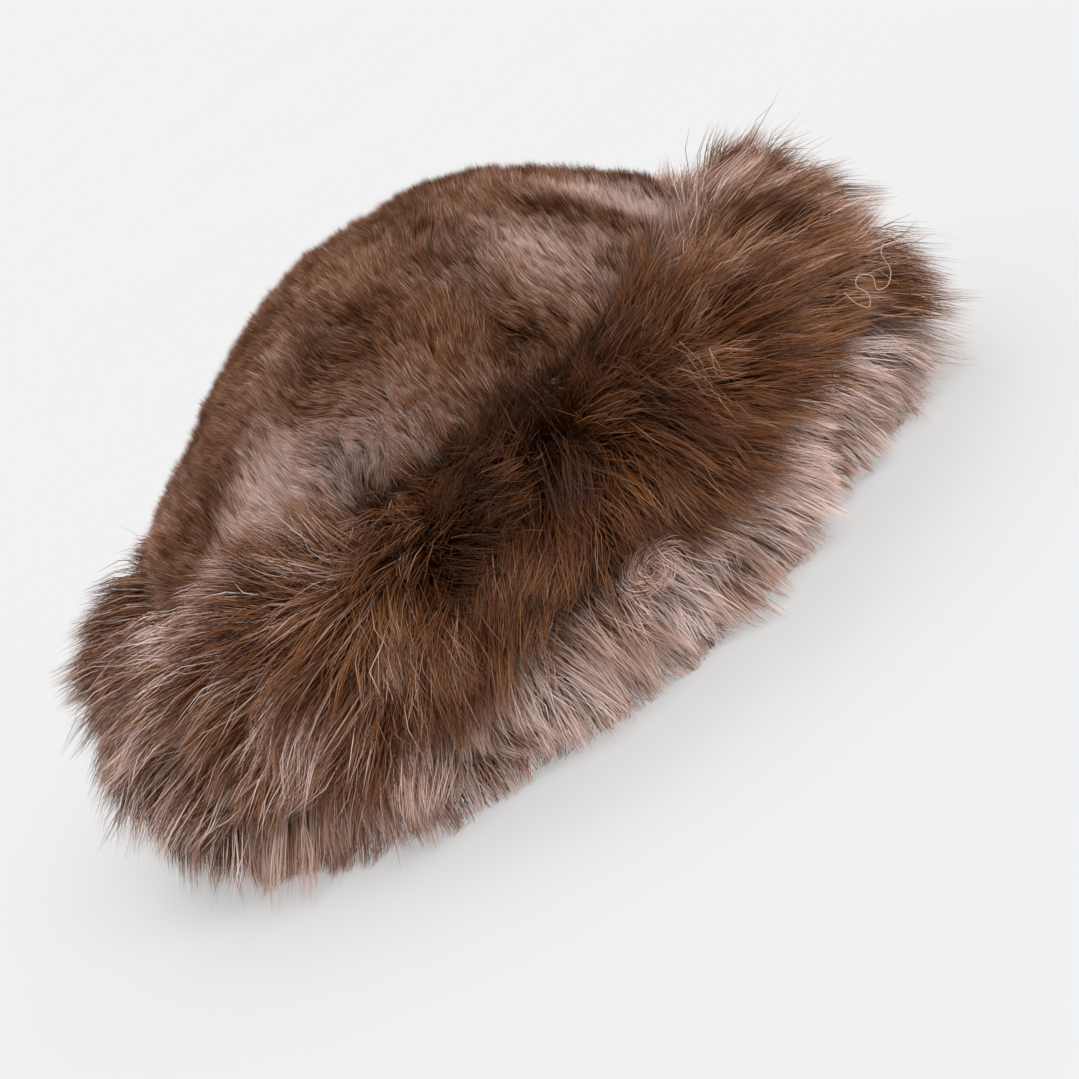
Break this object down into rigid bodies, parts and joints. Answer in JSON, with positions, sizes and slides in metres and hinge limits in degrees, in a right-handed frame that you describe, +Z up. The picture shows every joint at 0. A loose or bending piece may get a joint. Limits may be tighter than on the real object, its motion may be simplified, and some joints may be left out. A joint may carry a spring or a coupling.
{
  "type": "fur hat with brim",
  "caption": "Soft fur hat with a domed short-pile crown over a wide drooping brim of long shaggy pile, standing on its brim with the head opening below.",
  "frame": {"origin": "middle of the head opening, on the surface that the hat stands on", "axes": "+Z up through the crown, the shortest extent; +X to the right of a viewer in front of the hat, the longest extent; the viewer stands at -Y"},
  "size_m": [0.3322, 0.2836, 0.14],
  "materials": {
    "short_pile": "soft brown artificial fur with a short dense pile",
    "long_pile": "dark brown artificial fur with a long shaggy pile and paler tips",
    "pale_long_pile": "long shaggy artificial fur, pale pinkish brown towards the tips"
  },
  "bodies": {
    "root": {"crown_side": "short_pile", "crown_top": "short_pile", "brim_upper": "long_pile", "brim_under": "pale_long_pile"}
  },
  "joints": []
}
